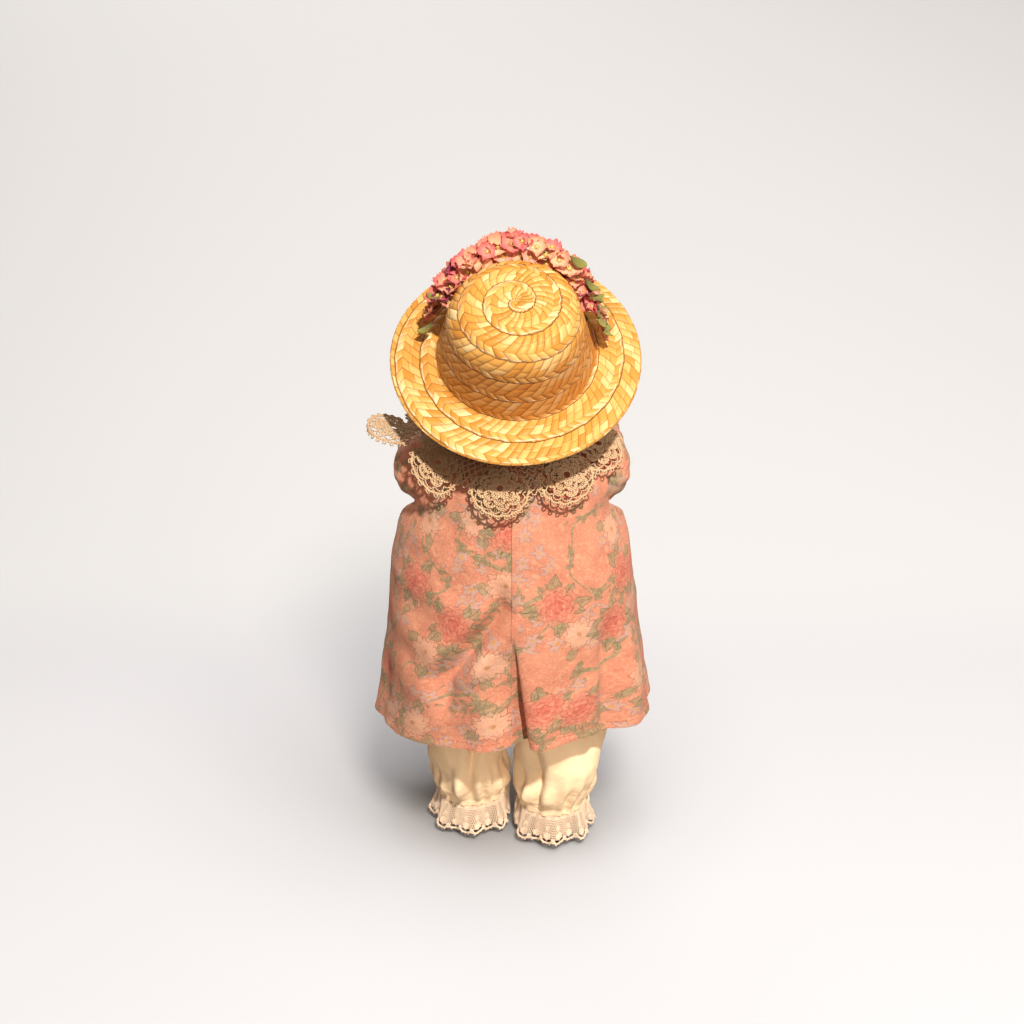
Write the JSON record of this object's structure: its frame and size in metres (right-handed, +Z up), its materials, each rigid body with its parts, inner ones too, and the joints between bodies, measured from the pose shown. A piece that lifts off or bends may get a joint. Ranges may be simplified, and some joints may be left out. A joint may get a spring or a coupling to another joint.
{
  "type": "doll",
  "caption": "Jointed dress-up doll hiding her face in her hands, with a flowered straw hat, floral dress, crochet collar and lace-edged bloomers",
  "frame": {"origin": "on the floor, below the middle of the doll's outer box", "axes": "+Z up, -Y the way the doll faces, +X the doll's own left"},
  "size_m": [0.206, 0.1756, 0.4714],
  "materials": {
    "skin": "satin moulded vinyl",
    "plug": "satin",
    "hair": "glossy wound fibre",
    "printed_cotton": "matt floral cotton",
    "crochet": "matt crochet thread",
    "button": "pearly",
    "cream_cotton": "matt washed cotton",
    "elastic": "matt woven elastic",
    "cord": "braided elastic",
    "steel": "drawn wire",
    "straw": "plaited straw with a soft sheen",
    "hat_ribbon": "matt grosgrain",
    "garland_stems": "bound stems",
    "blossom_cloth": "matt cloth petals",
    "leaf_cloth": "matt cloth leaves",
    "lace": "matt cotton lace",
    "shoe_leather": "worn dark brown",
    "shoe_sole": "matt"
  },
  "bodies": {
    "torso": {"trunk_shell": "skin", "dress": "printed_cotton", "collar": "crochet", "collar_button": "button", "bloomers_waist": "cream_cotton", "waist_elastic": "elastic", "shoulder_cord": "cord", "hip_cord": "cord", "body_cord": "cord", "neck_hook": "steel"},
    "head": {"head_shell": "skin", "neck_plug": "plug", "wig": "hair", "curl_front_left": "hair", "curl_back_left": "hair", "curl_front_right": "hair", "curl_back_right": "hair"},
    "hat": {"straw_hat": "straw", "hat_band": "hat_ribbon", "garland_band": "garland_stems", "blossom_01": "blossom_cloth", "blossom_02": "blossom_cloth", "blossom_03": "blossom_cloth", "blossom_04": "blossom_cloth", "blossom_05": "blossom_cloth", "blossom_06": "blossom_cloth", "blossom_07": "blossom_cloth", "blossom_08": "blossom_cloth", "blossom_09": "blossom_cloth", "blossom_10": "blossom_cloth", "blossom_11": "blossom_cloth", "blossom_12": "blossom_cloth", "blossom_13": "blossom_cloth", "blossom_14": "blossom_cloth", "leaf_1": "leaf_cloth", "leaf_2": "leaf_cloth", "leaf_3": "leaf_cloth"},
    "arm_left": {"arm_left": "skin", "arm_hook_left": "steel", "sleeve_left": "printed_cotton", "cuff_lace_left": "lace"},
    "arm_right": {"arm_right": "skin", "arm_hook_right": "steel", "sleeve_right": "printed_cotton", "cuff_lace_right": "lace"},
    "leg_left": {"leg_left": "skin", "leg_hook_left": "steel", "bloomers_leg_left": "cream_cotton", "ankle_elastic_left": "elastic", "ankle_lace_left": "lace", "shoe_left": "shoe_leather", "shoe_sole_left": "shoe_sole"},
    "leg_right": {"leg_right": "skin", "leg_hook_right": "steel", "bloomers_leg_right": "cream_cotton", "ankle_elastic_right": "elastic", "ankle_lace_right": "lace", "shoe_right": "shoe_leather", "shoe_sole_right": "shoe_sole"}
  },
  "joints": [
    {"name": "neck_turn", "type": "hinge", "parent": "torso", "child": "head", "pos_m": [0.0009, 0.00637, 0.316], "axis": [0, 0, 1], "range_deg": [-30, 30]},
    {"name": "hat_lift", "type": "slide", "parent": "head", "child": "hat", "axis": [0, 0.5592, 0.829], "range_m": [0, 0.08]},
    {"name": "shoulder_left", "type": "hinge", "parent": "torso", "child": "arm_left", "pos_m": [0.0629, 0.00637, 0.305], "axis": [1, 0, 0], "range_deg": [0, 25]},
    {"name": "shoulder_right", "type": "hinge", "parent": "torso", "child": "arm_right", "pos_m": [-0.0611, 0.00637, 0.305], "axis": [1, 0, 0], "range_deg": [0, 25]},
    {"name": "hip_left", "type": "hinge", "parent": "torso", "child": "leg_left", "pos_m": [0.0319, 0.00637, 0.168], "axis": [1, 0, 0], "range_deg": [-12, 12]},
    {"name": "hip_right", "type": "hinge", "parent": "torso", "child": "leg_right", "pos_m": [-0.0301, 0.00637, 0.168], "axis": [1, 0, 0], "range_deg": [-12, 12]}
  ]
}
